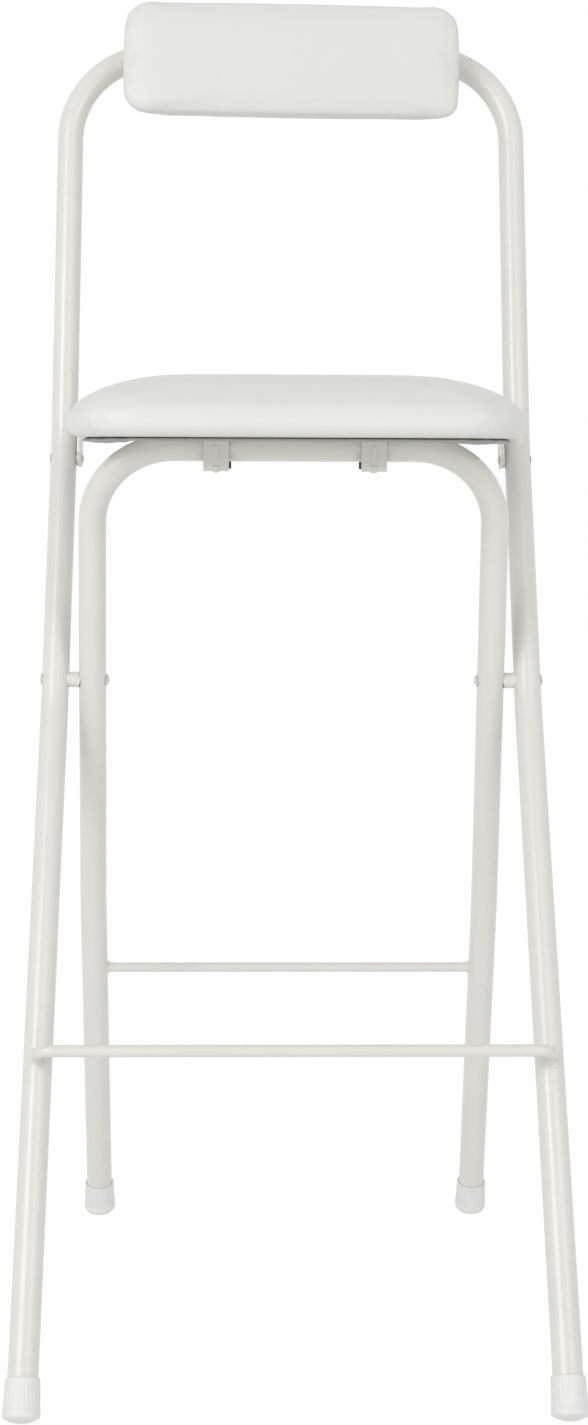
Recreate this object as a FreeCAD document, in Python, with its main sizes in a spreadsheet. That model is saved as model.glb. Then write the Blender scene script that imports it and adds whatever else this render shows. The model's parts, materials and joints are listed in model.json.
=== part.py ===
import FreeCAD, Part
import math
import os
import Sketcher
from FreeCAD import Placement, Rotation, Vector

# Folding bar stool. Millimetres. +X is to the right seen from the front, -Y is the
# front, +Z is up. The origin is on the floor, in the middle of the stool's length
# and width.

# Driving sizes
SIZES = [
    ("tube_od", 22),
    ("tube_wall", 1.5),
    ("back_frame_width", 384),
    ("back_corner_radius", 76),
    ("pivot_height", 492),
    ("lower_bend_below_pivot", 19.4),
    ("upper_bend_above_pivot", 213),
    ("back_length", 339.8),
    ("front_leg_lean", 28.25),
    ("middle_lean", 21.8),
    ("back_lean", 11.3),
    ("lower_bend_radius", 200),
    ("upper_bend_radius", 150),
    ("leg_frame_lean", 19.7),
    ("leg_frame_top_inset", 33.2),
    ("leg_frame_low_inset", 27),
    ("leg_frame_corner_radius", 65),
    ("crossbar_above_pivot", 201.4),
    ("splay_bend_radius", 600),
    ("splay_bend_height", 300),
    ("seat_rivet_below_bar", 11.25),
    ("rear_rod_od", 8),
    ("rear_rod_height", 236.4),
    ("footrest_od", 9),
    ("footrest_height", 237.1),
    ("footrest_reach", 20),
    ("footrest_bend_radius", 12),
    ("cap_clearance", 0.1),
    ("cap_top_wall", 1.3),
    ("cap_low_wall", 2.05),
    ("cap_band_wall", 2.35),
    ("cap_skirt", 26),
    ("cap_band", 5),
    ("cap_dome", 3.5),
    ("cap_floor", 5),
    ("cap_chamfer", 0.8),
    ("cap_foot_cut", 0.35),
    ("pivot_rivet_od", 8),
    ("pivot_head_od", 10),
    ("pivot_head_height", 2.5),
    ("pivot_tail_od", 9.5),
    ("pivot_tail_height", 1.5),
    ("pivot_spacer_od", 12.5),
    ("seat_rivet_od", 6),
    ("seat_head_od", 8.5),
    ("seat_head_height", 1.6),
    ("seat_tail_od", 8),
    ("seat_tail_height", 0.4),
    ("washer_od", 12),
    ("washer_thickness", 2),
    ("tight_clearance", 0.02),
    ("running_clearance", 0.07),
    ("bore_clearance", 0.05),
    ("face_gap", 0.2),
    ("seat_side_gap", 1.6),
    ("seat_depth", 290),
    ("seat_rear_overhang", 22),
    ("seat_corner_radius", 58),
    ("seat_tilt", 0.7),
    ("seat_lip_drop", 4.3),
    ("seat_lip_width", 22),
    ("seat_bar_gap", 0.3),
    ("board_thickness", 12),
    ("board_inset", 12),
    ("cover_thickness", 1.2),
    ("foam_gap", 0.3),
    ("notch_clearance", 0.5),
    ("bracket_thickness", 2),
    ("bracket_width", 30),
    ("bracket_reach", 50),
    ("bracket_below_rivet", 7),
    ("bracket_foot_width", 15),
    ("bracket_shoulder", 6),
    ("screw_od", 4),
    ("screw_head_od", 8),
    ("screw_head_height", 2.2),
    ("screw_length", 11),
    ("screw_point", 1.5),
    ("screw_clearance", 0.2),
    ("bracket_screw_spacing", 13),
    ("bracket_screw_inset", 6),
    ("bracket_screw_forward", 7),
    ("clip_width", 20),
    ("clip_thickness", 2),
    ("clip_spacing", 123),
    ("clip_gap", 1),
    ("clip_drop", 7.7),
    ("clip_hook_radius", 5),
    ("clip_hook_lip", 2),
    ("clip_flange", 34),
    ("clip_screw_spacing", 14),
    ("clip_screw_inset", 12),
    ("clip_bead_width", 4),
    ("clip_bead_height", 0.7),
    ("clip_bead_length", 15),
    ("clip_bead_root", 0.2),
    ("pad_width", 287),
    ("pad_height", 96),
    ("pad_corner_radius", 22),
    ("pad_below_bar", 13.5),
    ("pad_board_thickness", 8),
    ("pad_board_inset", 11),
    ("pad_board_gap", 0.1),
    ("bolt_od", 6),
    ("bolt_spacing", 150),
    ("bolt_head_od", 12),
    ("bolt_head_height", 3.2),
    ("bolt_end_gap", 1),
    ("tee_nut_od", 8),
    ("tee_nut_flange_od", 18),
    ("tee_nut_flange", 1.4),
]

# Crown of the seat: how far each level lies in from the outline, and its height
# over the lip
SEAT_LEVELS = [
    (9, 0), (4.4, 4), (1.2, 10), (0, 16), (1.2, 20.5),
    (7, 28), (18, 34.6), (35, 40), (56, 45.2), (79, 48),
]

# Crown of the backrest pad, the same way, measured from its flat back
PAD_LEVELS = [
    (8.5, 0), (5.4, 8), (2.5, 16), (0.4, 23), (0, 27), (1.2, 32), (4.4, 35.6), (12, 37.3), (28, 38),
]

# How far a cut is carried past the faces that it goes through
CUT_MARGIN = 1

doc = FreeCAD.newDocument("folding_bar_stool")
sheet = doc.addObject("Spreadsheet::Sheet", "sizes")
aliases = []
nodes = []


def add_size(alias, value):
    """Write a size into the sheet, in a row of its own."""
    aliases.append(alias)
    row = len(aliases)
    sheet.set("A%d" % row, alias)
    sheet.set("B%d" % row, repr(value))
    sheet.setAlias("B%d" % row, alias)


for alias, value in SIZES:
    add_size(alias, value)
doc.recompute()


def size(name):
    return float(sheet.get(name))


def bind(target, prop, expression):
    target.setExpression(prop, expression)


def keep(target, label):
    """Name a finished sub-part, so that it is checked and exported."""
    target.Label = label
    nodes.append(target)
    return target


# Side view of the two frames. lean is measured from the vertical, rearward going up
def up_along(lean):
    angle = math.radians(lean)
    return Vector(0, math.sin(angle), math.cos(angle))


cap_bore_radius = size("tube_od") / 2 + size("cap_clearance")
cap_low_radius = cap_bore_radius + size("cap_low_wall")
cap_band_radius = cap_bore_radius + size("cap_band_wall")
dome_radius = (cap_low_radius ** 2 + size("cap_dome") ** 2) / (2 * size("cap_dome"))
dome_centre_height = dome_radius - size("cap_foot_cut")
middle_up = up_along(size("middle_lean"))
front_up = up_along(size("front_leg_lean"))
back_up = up_along(size("back_lean"))
leg_up = up_along(-size("leg_frame_lean"))

pivot = Vector(0, 0, size("pivot_height"))
lower_bend = pivot - middle_up * size("lower_bend_below_pivot")
upper_bend = pivot + middle_up * size("upper_bend_above_pivot")
top_bar = upper_bend + back_up * size("back_length")
crossbar = pivot + leg_up * size("crossbar_above_pivot")


def level_on(start, direction, height):
    """The point at a height on a line."""
    return start + direction * ((height - start.z) / direction.z)


seat_pivot = level_on(pivot, middle_up, crossbar.z - size("seat_rivet_below_bar"))
front_dome = level_on(lower_bend, front_up, dome_centre_height)
rear_dome = level_on(pivot, leg_up, dome_centre_height)


# The origin lies midway between the front and the rear caps, which reach furthest
def dome_rim_reach(lean):
    """How far a cap's widest rim stands out of its dome's centre, level with the floor."""
    angle = math.radians(lean)
    low_edge = dome_radius - size("cap_dome")
    return cap_band_radius * math.cos(angle) + low_edge * math.sin(angle)


front_end = front_dome.y - dome_rim_reach(size("front_leg_lean"))
rear_end = rear_dome.y + dome_rim_reach(size("leg_frame_lean"))
shift = Vector(0, -(front_end + rear_end) / 2, 0)
for point in (pivot, lower_bend, upper_bend, top_bar, seat_pivot, crossbar, front_dome, rear_dome):
    point.y += shift.y


# Helpers for bodies and sketches
def new_body(name):
    return doc.addObject("PartDesign::Body", name)


def origin_plane(body, role):
    return [item for item in body.Origin.OriginFeatures if item.Role == role][0]


def new_sketch(body, role):
    sketch = body.newObject("Sketcher::SketchObject", body.Name + "_sketch")
    sketch.AttachmentSupport = [(origin_plane(body, role), "")]
    sketch.MapMode = "FlatFace"
    return sketch


def number(expression):
    return float(sheet.evalExpression(expression))


def fix_point(sketch, geometry, corner, x, y):
    """Tie one point of a sketch to the sheet."""
    for kind, expression in (("DistanceX", x), ("DistanceY", y)):
        distance = number(expression)
        if abs(distance) < 1e-9:
            axis = -2 if kind == "DistanceX" else -1
            sketch.addConstraint(Sketcher.Constraint("PointOnObject", geometry, corner, axis))
        else:
            index = sketch.addConstraint(
                Sketcher.Constraint(kind, -1, 1, geometry, corner, distance))
            sketch.setExpression("Constraints[%d]" % index, expression)


def draw_outline(sketch, corners):
    """Draw a closed outline. A corner is (x, y), or (x, y, radius, side) where an arc
    leads to it from the corner before, its centre on that side of the way."""
    points = [Vector(number(corner[0]), number(corner[1]), 0) for corner in corners]
    edges = []
    for index in range(len(corners)):
        start = points[index]
        end = points[(index + 1) % len(corners)]
        target = corners[(index + 1) % len(corners)]
        if len(target) == 2:
            edges.append((sketch.addGeometry(Part.LineSegment(start, end)), 1, 2))
            continue
        radius = number(target[2])
        side = target[3]
        chord = end - start
        across = Vector(-chord.y, chord.x, 0).normalize()
        rise = math.sqrt(max(radius ** 2 - (chord.Length / 2) ** 2, 0))
        centre = (start + end) / 2 + across * side * rise
        first, last = (start, end) if side > 0 else (end, start)
        angles = [math.atan2(p.y - centre.y, p.x - centre.x) for p in (first, last)]
        circle = Part.Circle(centre, Vector(0, 0, 1), radius)
        geometry = sketch.addGeometry(Part.ArcOfCircle(circle, angles[0], angles[1]))
        edges.append((geometry, 1, 2) if side > 0 else (geometry, 2, 1))
    for index, (geometry, start, end) in enumerate(edges):
        after = edges[(index + 1) % len(edges)]
        sketch.addConstraint(Sketcher.Constraint("Coincident", geometry, end, after[0], after[1]))
        fix_point(sketch, geometry, start, corners[index][0], corners[index][1])
        target = corners[(index + 1) % len(corners)]
        if len(target) == 4:
            radius_at = sketch.addConstraint(
                Sketcher.Constraint("Radius", geometry, number(target[2])))
            sketch.setExpression("Constraints[%d]" % radius_at, target[2])


def draw_circle(sketch, x, y, radius):
    circle = Part.Circle(Vector(number(x), number(y), 0), Vector(0, 0, 1), number(radius))
    geometry = sketch.addGeometry(circle)
    fix_point(sketch, geometry, 3, x, y)
    index = sketch.addConstraint(Sketcher.Constraint("Radius", geometry, number(radius)))
    sketch.setExpression("Constraints[%d]" % index, radius)


def revolve(body, corners):
    """Turn an outline in the XZ plane about Z."""
    sketch = new_sketch(body, "XZ_Plane")
    draw_outline(sketch, corners)
    turned = body.newObject("PartDesign::Revolution", body.Name + "_turned")
    turned.Profile = sketch
    turned.ReferenceAxis = (sketch, ["V_Axis"])
    turned.Angle = 360
    return turned


def pad(body, role, corners, length, symmetric):
    sketch = new_sketch(body, role)
    draw_outline(sketch, corners)
    feature = body.newObject("PartDesign::Pad", body.Name + "_pad")
    feature.Profile = sketch
    feature.SideType = "Symmetric" if symmetric else "One side"
    bind(feature, "Length", length)
    return feature


def pocket_through(body, role, draw):
    """Cut a sketch through the whole body, both ways."""
    sketch = new_sketch(body, role)
    draw(sketch)
    doc.recompute()
    feature = body.newObject("PartDesign::Pocket", body.Name + "_pocket")
    feature.Profile = sketch
    feature.SideType = "Symmetric"
    feature.Type = "ThroughAll"
    return feature


# Bent tube and rod: straight runs joined by tangent arcs
def bent_path(points, radii):
    """A wire through the points, rounded at each inner point with its radius."""
    edges = []
    start = points[0]
    for index in range(1, len(points) - 1):
        corner = points[index]
        back = (points[index - 1] - corner).normalize()
        ahead = (points[index + 1] - corner).normalize()
        half_turn = (math.pi - back.getAngle(ahead)) / 2
        reach = radii[index - 1] * math.tan(half_turn)
        bisector = (back + ahead).normalize()
        middle = corner + bisector * (radii[index - 1] / math.cos(half_turn) - radii[index - 1])
        first = corner + back * reach
        last = corner + ahead * reach
        edges.append(Part.LineSegment(start, first).toShape())
        edges.append(Part.Arc(first, middle, last).toShape())
        start = last
    edges.append(Part.LineSegment(start, points[-1]).toShape())
    return Part.Wire(edges)


def swept_round(name, points, radii, radius):
    """A solid round bar along a bent path. radius is an expression."""
    path = doc.addObject("Part::Feature", name + "_path")
    path.Shape = bent_path(points, radii)
    ring = doc.addObject("Part::Circle", name + "_ring")
    bind(ring, "Radius", radius)
    ring.Placement = Placement(points[0], Rotation(Vector(0, 0, 1), points[1] - points[0]))
    bar = doc.addObject("Part::Sweep", name + "_bar")
    bar.Sections = [ring]
    bar.Spine = (path, ["Edge%d" % (i + 1) for i in range(len(path.Shape.Edges))])
    bar.Solid = True
    bar.Frenet = False
    return bar


def cut(name, base, tool):
    result = doc.addObject("Part::Cut", name)
    result.Base = base
    result.Tool = tool
    return result


def group(name, shapes):
    result = doc.addObject("Part::MultiFuse", name)
    result.Shapes = shapes
    return result


def drill(name, radius, length, centre, direction):
    """A drill for a hole, centred on a point. radius and length are expressions."""
    tool = doc.addObject("Part::Cylinder", name)
    bind(tool, "Radius", radius)
    bind(tool, "Height", length)
    doc.recompute()
    turned = Rotation(Vector(0, 0, 1), direction)
    start = centre - turned.multVec(Vector(0, 0, tool.Height.Value / 2))
    tool.Placement = Placement(start, turned)
    return tool


ACROSS = Vector(1, 0, 0)
SIDES = (("left", -1), ("right", 1))
half_back = size("back_frame_width") / 2
half_leg_top = half_back - size("leg_frame_top_inset")
half_leg_low = half_back - size("leg_frame_low_inset")
DRILL_LENGTH = "1.5 * sizes.tube_od"


def beside(point, x):
    return Vector(x, point.y, point.z)


# Back frame tube: an inverted U that leans back over the seat and becomes the
# front legs below the cross-over
front_foot = front_dome - front_up * (dome_radius - size("cap_floor"))
rear_foot = rear_dome - leg_up * (dome_radius - size("cap_floor"))
back_points = [beside(p, -half_back) for p in (front_foot, lower_bend, upper_bend, top_bar)]
back_points += [beside(p, half_back) for p in (top_bar, upper_bend, lower_bend, front_foot)]
side_bends = [size("lower_bend_radius"), size("upper_bend_radius"), size("back_corner_radius")]
back_radii = side_bends + side_bends[::-1]
back_solid = swept_round("back_outer", back_points, back_radii, "sizes.tube_od / 2")
back_bore = swept_round("back_inner", back_points, back_radii, "sizes.tube_od / 2 - sizes.tube_wall")
back_tube = cut("back_hollow", back_solid, back_bore)
back_drills = []
for side, sign in SIDES:
    back_drills.append(drill(
        side + "_pivot_drill", "sizes.pivot_rivet_od / 2 + sizes.tight_clearance", DRILL_LENGTH,
        beside(pivot, sign * half_back), ACROSS))
    back_drills.append(drill(
        side + "_seat_drill", "sizes.seat_rivet_od / 2 + sizes.tight_clearance", DRILL_LENGTH,
        beside(seat_pivot, sign * half_back), ACROSS))
pad_turn = Rotation(Vector(0, 0, 1), back_up)
for side, sign in SIDES:
    back_drills.append(drill(
        side + "_bolt_drill", "sizes.bolt_od / 2 + sizes.screw_clearance", DRILL_LENGTH,
        beside(top_bar, sign * size("bolt_spacing") / 2), pad_turn.multVec(Vector(0, 1, 0))))
back_frame = cut("back_frame", back_tube, group("back_frame_drills", back_drills))
keep(back_frame, "back_frame_tube")

# Leg frame tube: an inverted U whose top is the crossbar under the seat. Its legs
# spread a little on the way down, then run parallel past the cross rod to the feet
splay_at = level_on(pivot, leg_up, size("splay_bend_height"))
leg_points = [
    beside(rear_foot, -half_leg_low),
    beside(splay_at, -half_leg_low),
    beside(crossbar, -half_leg_top),
    beside(crossbar, half_leg_top),
    beside(splay_at, half_leg_low),
    beside(rear_foot, half_leg_low),
]
leg_bends = [size("splay_bend_radius"), size("leg_frame_corner_radius")]
leg_radii = leg_bends + leg_bends[::-1]
leg_solid = swept_round("leg_outer", leg_points, leg_radii, "sizes.tube_od / 2")
leg_bore = swept_round("leg_inner", leg_points, leg_radii, "sizes.tube_od / 2 - sizes.tube_wall")
leg_tube = cut("leg_hollow", leg_solid, leg_bore)
splay_share = size("crossbar_above_pivot") / (crossbar - splay_at).Length
half_leg_pivot = half_leg_top + (half_leg_low - half_leg_top) * splay_share
leg_drills = []
for side, sign in SIDES:
    leg_drills.append(drill(
        side + "_leg_drill", "sizes.pivot_rivet_od / 2 + sizes.running_clearance",
        DRILL_LENGTH, beside(pivot, sign * half_leg_pivot), ACROSS))
leg_frame = cut("leg_frame", leg_tube, group("leg_frame_drills", leg_drills))
keep(leg_frame, "leg_frame_tube")

# Rear cross rod: straight, welded between the insides of the rear legs
rear_rod_at = level_on(pivot, leg_up, size("rear_rod_height"))
rear_rod = drill(
    "rear_rod", "sizes.rear_rod_od / 2", "sizes.back_frame_width - 2 * sizes.leg_frame_low_inset",
    beside(rear_rod_at, 0), ACROSS)
keep(cut("rear_rod_trimmed", rear_rod, leg_solid), "rear_cross_rod")

# Footrest rod: in front of the legs, both ends bent back square to them
footrest_offset = size("tube_od") / 2 + size("footrest_reach")
forward = Vector(0, -front_up.z, front_up.y)
footrest_root = level_on(lower_bend, front_up, size("footrest_height") - forward.z * footrest_offset)
footrest_at = footrest_root + forward * footrest_offset
footrest_points = [
    beside(footrest_root, -half_back),
    beside(footrest_at, -half_back),
    beside(footrest_at, half_back),
    beside(footrest_root, half_back),
]
footrest_radii = [size("footrest_bend_radius")] * 2
footrest = swept_round("footrest", footrest_points, footrest_radii, "sizes.footrest_od / 2")
keep(cut("footrest_trimmed", footrest, back_solid), "footrest_rod")


# Foot caps: pushed over the tube ends, flared, with a plain band and a domed base
# that is worn flat where it stands on the floor
CAP_BORE = "sizes.tube_od / 2 + sizes.cap_clearance"
CAP_TOP = CAP_BORE + " + sizes.cap_top_wall"
CAP_LOW = CAP_BORE + " + sizes.cap_low_wall"
CAP_BAND = CAP_BORE + " + sizes.cap_band_wall"
CAP_DOME = "((%s) ^ 2 + sizes.cap_dome ^ 2) / (2 * sizes.cap_dome)" % CAP_LOW
CAP_OUTLINE = [
    ("0", "0"),
    (CAP_LOW, "sizes.cap_dome", CAP_DOME, 1),
    (CAP_BAND, "sizes.cap_dome + sizes.cap_chamfer"),
    (CAP_BAND, "sizes.cap_dome + sizes.cap_band"),
    (CAP_LOW, "sizes.cap_dome + sizes.cap_band + sizes.cap_chamfer"),
    (CAP_TOP, "sizes.cap_dome + sizes.cap_skirt - sizes.cap_chamfer"),
    (CAP_TOP + " - sizes.cap_chamfer", "sizes.cap_dome + sizes.cap_skirt"),
    (CAP_BORE, "sizes.cap_dome + sizes.cap_skirt"),
    (CAP_BORE, "sizes.cap_floor"),
    ("0", "sizes.cap_floor"),
]


def foot_cap(label, dome_centre, up, x, floor):
    body = new_body(label + "_body")
    revolve(body, CAP_OUTLINE)
    body.Placement = Placement(
        beside(dome_centre - up * dome_radius, x), Rotation(Vector(0, 0, 1), up))
    return keep(cut(label + "_cut", body, floor), label)


# The floor, as a block that is wider than the stool stands
floor_half = size("pivot_height")
floor_block = doc.addObject("Part::Box", "floor_block")
bind(floor_block, "Length", "2 * sizes.pivot_height")
bind(floor_block, "Width", "2 * sizes.pivot_height")
bind(floor_block, "Height", "sizes.cap_skirt")
floor_block.Placement = Placement(Vector(-floor_half, -floor_half, -size("cap_skirt")), Rotation())
for side, sign in SIDES:
    foot_cap("front_%s_foot_cap" % side, front_dome, front_up, sign * half_back, floor_block)
    foot_cap("rear_%s_foot_cap" % side, rear_dome, leg_up, sign * half_leg_low, floor_block)


# Rivets, spacers and washers lie along X and are turned about their own Z
def turned_part(label, corners, start, sign):
    body = new_body(label + "_body")
    revolve(body, corners)
    body.Placement = Placement(start, Rotation(Vector(0, 0, 1), Vector(sign, 0, 0)))
    return keep(body, label)


def rivet_outline(shank, grip, head_od, head_height, tail_od, tail_height):
    """Domed head below zero, shank up to the grip, flatter tail above it."""
    head_radius = "((%s / 2) ^ 2 + %s ^ 2) / (2 * %s)" % (head_od, head_height, head_height)
    tail_radius = "((%s / 2) ^ 2 + %s ^ 2) / (2 * %s)" % (tail_od, tail_height, tail_height)
    return [
        ("0", "-%s" % head_height),
        ("%s / 2" % head_od, "0", head_radius, 1),
        ("%s / 2" % shank, "0"),
        ("%s / 2" % shank, grip),
        ("%s / 2" % tail_od, grip),
        ("0", "%s + %s" % (grip, tail_height), tail_radius, 1),
    ]


def ring_outline(bore, outer, height):
    return [
        ("%s / 2" % bore, "0"),
        ("%s / 2" % outer, "0"),
        ("%s / 2" % outer, height),
        ("%s / 2" % bore, height),
    ]


# Set across the stool, from the middle outwards. The leg frame's half width at the
# pivot follows its splay, so it goes into the sheet as a size of its own
add_size("leg_frame_pivot_width", 2 * half_leg_pivot)
doc.recompute()

back_inside = "(sizes.back_frame_width - sizes.tube_od) / 2"
back_outside = "(sizes.back_frame_width + sizes.tube_od) / 2"
leg_inside = "(sizes.leg_frame_pivot_width - sizes.tube_od) / 2"
leg_outside = "(sizes.leg_frame_pivot_width + sizes.tube_od) / 2"
gap = "sizes.face_gap"
pivot_grip = "%s - %s + %s" % (back_outside, leg_inside, gap)
spacer_length = "%s - %s - 2 * %s" % (back_inside, leg_outside, gap)
bracket_inner = "%s - 2 * %s - sizes.washer_thickness - sizes.bracket_thickness" % (back_inside, gap)
seat_grip = "%s - (%s) + %s" % (back_outside, bracket_inner, gap)
bracket_inner_at = number(bracket_inner)

for side, sign in SIDES:
    turned_part(
        side + "_pivot_rivet",
        rivet_outline("sizes.pivot_rivet_od", pivot_grip, "sizes.pivot_head_od",
                      "sizes.pivot_head_height", "sizes.pivot_tail_od", "sizes.pivot_tail_height"),
        beside(pivot, sign * (number(leg_inside) - size("face_gap"))), sign)
    turned_part(
        side + "_pivot_spacer",
        ring_outline("(sizes.pivot_rivet_od + 2 * sizes.bore_clearance)", "sizes.pivot_spacer_od",
                     spacer_length),
        beside(pivot, sign * (number(leg_outside) + size("face_gap"))), sign)
    turned_part(
        side + "_seat_rivet",
        rivet_outline("sizes.seat_rivet_od", seat_grip, "sizes.seat_head_od",
                      "sizes.seat_head_height", "sizes.seat_tail_od", "sizes.seat_tail_height"),
        beside(seat_pivot, sign * (bracket_inner_at - size("face_gap"))), sign)
    turned_part(
        side + "_seat_washer",
        ring_outline("(sizes.seat_rivet_od + 2 * sizes.bore_clearance)", "sizes.washer_od",
                     "sizes.washer_thickness"),
        beside(seat_pivot, sign * (bracket_inner_at + size("bracket_thickness") + size("face_gap"))),
        sign)

# Seat. Its own frame has its origin on the seat rivets' axis, y rearward, z up, and
# tips back a little. board_bottom is how high its board lies over that axis
seat_place = Placement(seat_pivot, Rotation(Vector(1, 0, 0), -size("seat_tilt")))
bar_in_seat = seat_place.inverse().multVec(crossbar)
board_bottom = bar_in_seat.z + size("tube_od") / 2 + size("seat_bar_gap")
lip_bottom = board_bottom - size("seat_lip_drop")
seat_centre_y = size("seat_rear_overhang") - size("seat_depth") / 2
add_size("board_bottom", board_bottom)
add_size("bar_forward", -bar_in_seat.y)
add_size("bar_rise", bar_in_seat.z)
doc.recompute()


def rounded_outline(half_x, half_y, corner, centre_y, z):
    """A level rounded rectangle, as a wire of lines and quarter circles."""
    edges = []
    start = Vector(half_x, centre_y - half_y + corner, z)
    for quarter in range(4):
        turn = Rotation(Vector(0, 0, 1), 90 * quarter)
        along, away = (half_y, half_x) if quarter % 2 == 0 else (half_x, half_y)
        centre = Vector(0, centre_y, z)
        first = centre + turn.multVec(Vector(away, corner - along, 0))
        last = centre + turn.multVec(Vector(away, along - corner, 0))
        hub = centre + turn.multVec(Vector(away - corner, along - corner, 0))
        middle = hub + turn.multVec(Vector(1, 1, 0).normalize() * corner)
        end = centre + turn.multVec(Vector(away - corner, along, 0))
        edges.append(Part.LineSegment(first, last).toShape())
        edges.append(Part.Arc(last, middle, end).toShape())
    return Part.Wire(edges)


def crowned_form(half_x, half_y, corner, centre_y, levels, skin):
    """A cushion's form. skin draws every level in by that much, and the top and bottom."""
    height = levels[-1][1]
    wires = []
    for inset, rise in levels:
        inset += skin
        share = 1 - inset / min(half_x, half_y)
        z = skin + rise * (height - 2 * skin) / height
        wires.append(rounded_outline(half_x - inset, half_y - inset, corner * share, centre_y, z))
    return Part.makeLoft(wires, True, True)


def plate(half_x, half_y, corner, centre_y, inset, low, high):
    share = 1 - inset / min(half_x, half_y)
    wire = rounded_outline(half_x - inset, half_y - inset, corner * share, centre_y, low)
    return Part.Face(wire).extrude(Vector(0, 0, high - low))


half_seat_x = bracket_inner_at - size("seat_side_gap")
half_seat_y = size("seat_depth") / 2
seat_corner = size("seat_corner_radius")
seat_outline = (half_seat_x, half_seat_y, seat_corner, seat_centre_y)
skin = size("cover_thickness")
lip_inner = size("seat_lip_width")
lip_drop = size("seat_lip_drop")

# Seat board: plywood, drilled for the bracket and clip screws
half_board_x = "(%s - sizes.seat_side_gap - sizes.board_inset)" % bracket_inner
board_front = "(sizes.seat_depth - sizes.seat_rear_overhang - sizes.board_inset)"
board_rear = "(sizes.seat_rear_overhang - sizes.board_inset)"
board_corner = "(sizes.seat_corner_radius - sizes.board_inset)"
bracket_screw_x = bracket_inner + " + sizes.bracket_thickness - sizes.bracket_reach"
bracket_screw_x += " + sizes.bracket_screw_inset"
clip_screw_y = "-(sizes.bar_forward + sizes.tube_od / 2 + sizes.clip_gap + sizes.clip_screw_inset)"


def screw_places():
    """Where the screws stand in the seat's frame, as expressions."""
    brackets = []
    clips = []
    for sign in ("-1", "1"):
        for step in ("0", "1"):
            bracket_x = "%s * (%s + %s * sizes.bracket_screw_spacing)" % (sign, bracket_screw_x, step)
            clip_y = "%s - %s * sizes.clip_screw_spacing" % (clip_screw_y, step)
            brackets.append((bracket_x, "-sizes.bracket_screw_forward"))
            clips.append(("%s * sizes.clip_spacing / 2" % sign, clip_y))
    return brackets, clips


bracket_screw_places, clip_screw_places = screw_places()
board = new_body("seat_board_body")
board_outline = [
    (half_board_x, "-" + board_front + " + " + board_corner, board_corner, 1),
    (half_board_x, board_rear + " - " + board_corner),
    (half_board_x + " - " + board_corner, board_rear, board_corner, 1),
    ("-" + half_board_x + " + " + board_corner, board_rear),
    ("-" + half_board_x, board_rear + " - " + board_corner, board_corner, 1),
    ("-" + half_board_x, "-" + board_front + " + " + board_corner),
    ("-" + half_board_x + " + " + board_corner, "-" + board_front, board_corner, 1),
    (half_board_x + " - " + board_corner, "-" + board_front),
]
board_blank = pad(board, "XY_Plane", board_outline, "sizes.board_thickness", False)


def draw_screw_holes(sketch):
    for x, y in bracket_screw_places + clip_screw_places:
        draw_circle(sketch, x, y, "sizes.screw_od / 2 + sizes.bore_clearance")


pocket_through(board, "XY_Plane", draw_screw_holes)
board.Placement = seat_place.multiply(Placement(Vector(0, 0, board_bottom), Rotation()))
keep(board, "seat_board")
doc.recompute()

# Seat cover and foam, in the seat's frame: the cover is a thin vinyl skin that turns
# in under the lip, the foam fills it round the board. Both are notched for the
# brackets. The cover's recess is cut on through the turned-in edge, to the foam
notch_width = size("bracket_width") + 2 * size("notch_clearance")
notch_inner = bracket_inner_at + size("bracket_thickness") - size("bracket_reach")
notch_inner -= size("notch_clearance")
notch_outer = half_seat_x + CUT_MARGIN
notches = []
for side, sign in SIDES:
    notch = Part.makeBox(notch_outer - notch_inner, notch_width, lip_drop + CUT_MARGIN)
    low_x = notch_inner if sign > 0 else -notch_outer
    notch.translate(Vector(low_x, -notch_width / 2, -CUT_MARGIN))
    notches.append(notch)
outer_form = crowned_form(*seat_outline, SEAT_LEVELS, 0)
inner_form = crowned_form(*seat_outline, SEAT_LEVELS, skin)
outer_recess = plate(*seat_outline, lip_inner, -CUT_MARGIN, lip_drop + 3 * skin)
inner_recess = plate(*seat_outline, lip_inner - skin, -CUT_MARGIN, lip_drop)
cover_shape = outer_form.cut(outer_recess).cut(inner_form.cut(inner_recess))
foam_skin = skin + size("foam_gap")
foam_recess = plate(*seat_outline, lip_inner - foam_skin, -CUT_MARGIN, lip_drop)
foam_form = crowned_form(*seat_outline, SEAT_LEVELS, foam_skin)
board_in_lip = board_blank.Shape.copy()
board_in_lip.Placement = Placement(Vector(0, 0, lip_drop), Rotation())
foam_shape = foam_form.cut(foam_recess).cut(board_in_lip)
for notch in notches:
    cover_shape = cover_shape.cut(notch)
    foam_shape = foam_shape.cut(notch)


def keep_shape(label, shape, place):
    """Keep a form that is made from wires and lofts."""
    piece = doc.addObject("Part::Feature", label + "_shape")
    piece.Shape = shape
    piece.Placement = place
    return keep(piece, label)


cushion_place = seat_place.multiply(Placement(Vector(0, 0, lip_bottom), Rotation()))
keep_shape("seat_cover", cover_shape, cushion_place)
keep_shape("seat_foam", foam_shape, cushion_place)

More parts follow.
